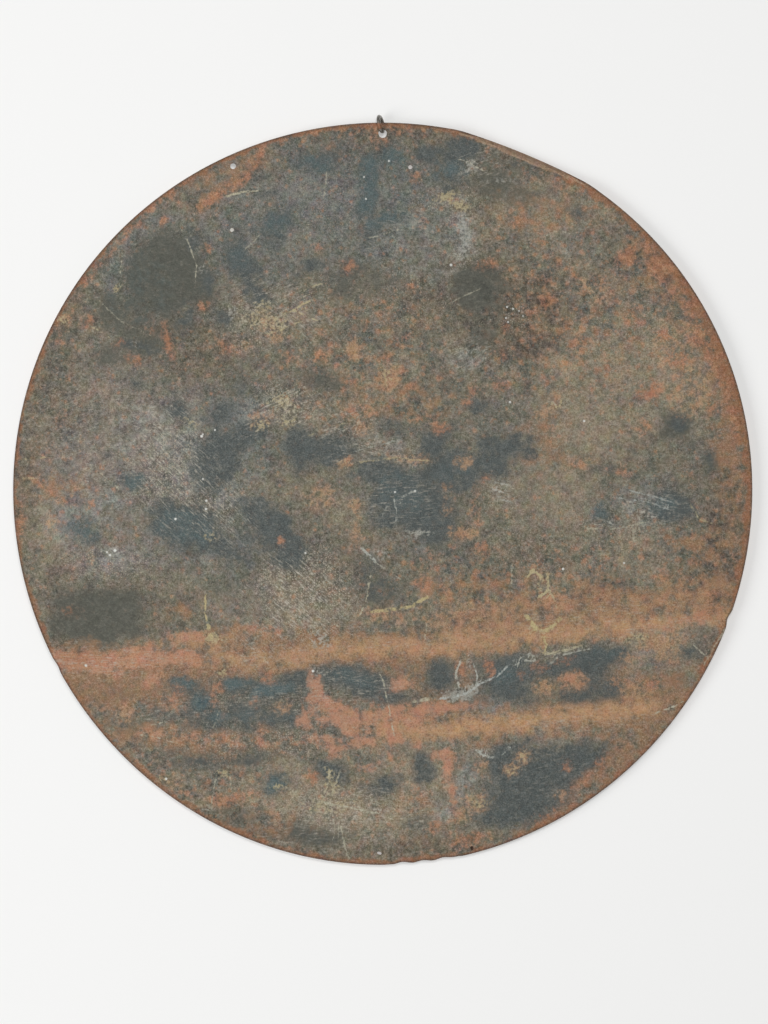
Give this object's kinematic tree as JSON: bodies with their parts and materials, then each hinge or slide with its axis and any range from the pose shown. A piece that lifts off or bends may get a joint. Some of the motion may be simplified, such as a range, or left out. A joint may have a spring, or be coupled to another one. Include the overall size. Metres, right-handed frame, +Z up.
{
  "type": "moon face sign",
  "caption": "Round hand-cut sheet-iron moon sign, rusted and part painted, with nail holes near its rim and a wire ring by which it hangs and swings.",
  "frame": {"origin": "inside of the hanging ring's crown, where a hook bears", "axes": "+Z up, +X to the right as the pictured side is seen, and -Y out of the pictured side, so the painted side faces +Y"},
  "size_m": [0.3991, 0.01, 0.4052],
  "materials": {
    "painted_sheet_iron": "rusted, with remains of dark blue-green paint",
    "steel_wire": "dull grey, lightly tarnished"
  },
  "bodies": {
    "ring": {"hanging_ring": "steel_wire"},
    "disc": {"moon_disc": "painted_sheet_iron"}
  },
  "joints": [
    {"name": "disc_swing", "type": "hinge", "parent": "ring", "child": "disc", "pos_m": [0.00159, 0, -0.0082], "axis": [0, 1, 0], "range_deg": [-50, 28]}
  ]
}
